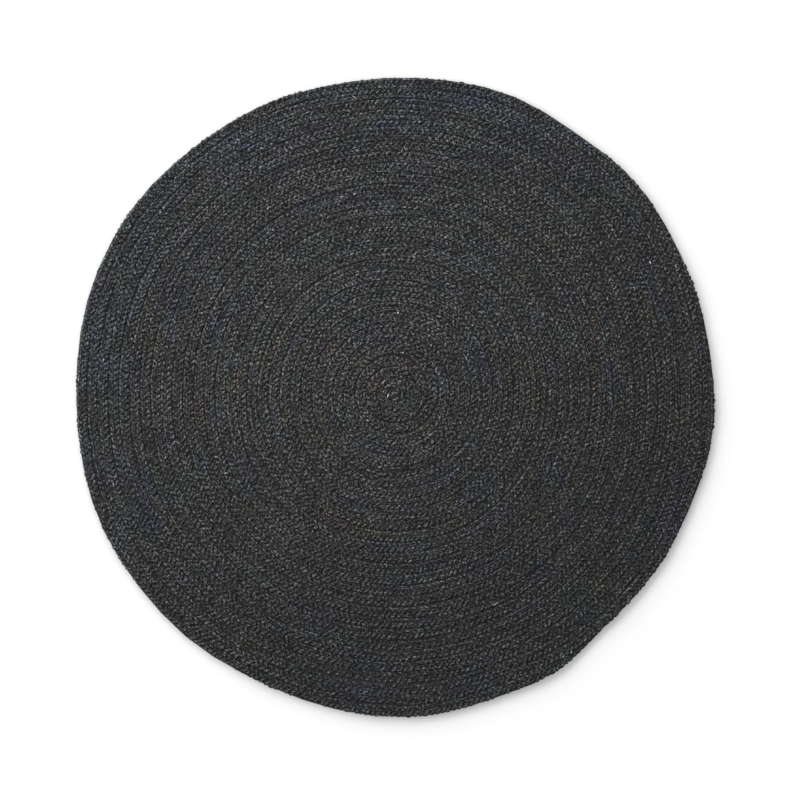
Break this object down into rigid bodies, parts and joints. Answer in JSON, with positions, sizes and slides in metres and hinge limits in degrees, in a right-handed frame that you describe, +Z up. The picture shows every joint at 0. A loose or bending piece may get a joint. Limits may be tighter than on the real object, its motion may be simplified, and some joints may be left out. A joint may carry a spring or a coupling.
{
  "type": "round braided jute rug",
  "caption": "Round flat rug of thick charcoal jute braid, wound in a spiral from the eye and sewn turn to turn, with a slightly uneven rim and a thinned braid end.",
  "frame": {"origin": "middle of the outline, on the underside", "axes": "+Z up through the thickness, +Y towards the top of the picture, +X to its right"},
  "size_m": [1.2983, 1.2998, 0.0095],
  "materials": {
    "charcoal_jute": "matt dyed jute",
    "dark_thread": "matt sewing thread"
  },
  "bodies": {
    "root": {"braided_rug": "charcoal_jute"}
  },
  "joints": []
}
